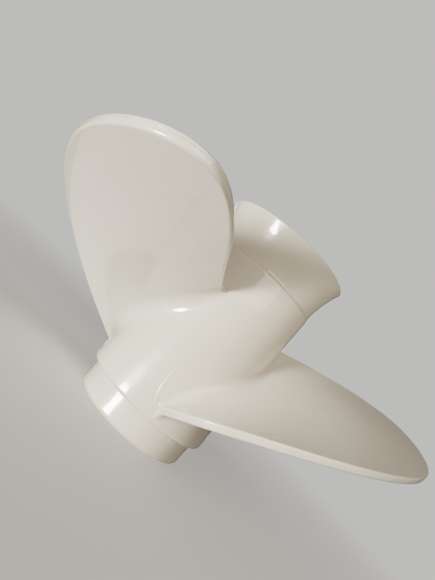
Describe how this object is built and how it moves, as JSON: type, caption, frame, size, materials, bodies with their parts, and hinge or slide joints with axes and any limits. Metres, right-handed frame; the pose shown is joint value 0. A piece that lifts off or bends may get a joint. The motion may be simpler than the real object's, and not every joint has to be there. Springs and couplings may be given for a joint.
{
  "type": "outboard_propeller",
  "caption": "Cast outboard-motor propeller with raked helical blades on a tapered hub, flared exhaust outlet, rubber bushing and splined shaft sleeve.",
  "frame": {"origin": "on the shaft axis, in the plane of the collar's front rim, on which the part stands", "axes": "+Z along the shaft axis from the front collar to the flared exhaust end; +X to the right in a view along +Y"},
  "size_m": [0.1814, 0.1963, 0.1005],
  "materials": {
    "white_paint": "glossy off-white paint on cast aluminium",
    "painted_inside": "satin off-white paint on rough casting",
    "black_rubber": "matt moulded rubber",
    "bronze": "machined bronze"
  },
  "bodies": {
    "root": {"front_collar": "white_paint", "hub_barrel": "white_paint", "flare_ring": "white_paint", "blade_1": "white_paint", "blade_2": "white_paint", "blade_3": "white_paint", "inner_hub": "painted_inside", "rib_1": "painted_inside", "rib_2": "painted_inside", "rib_3": "painted_inside", "rubber_bushing": "black_rubber", "splined_sleeve": "bronze"}
  },
  "joints": []
}
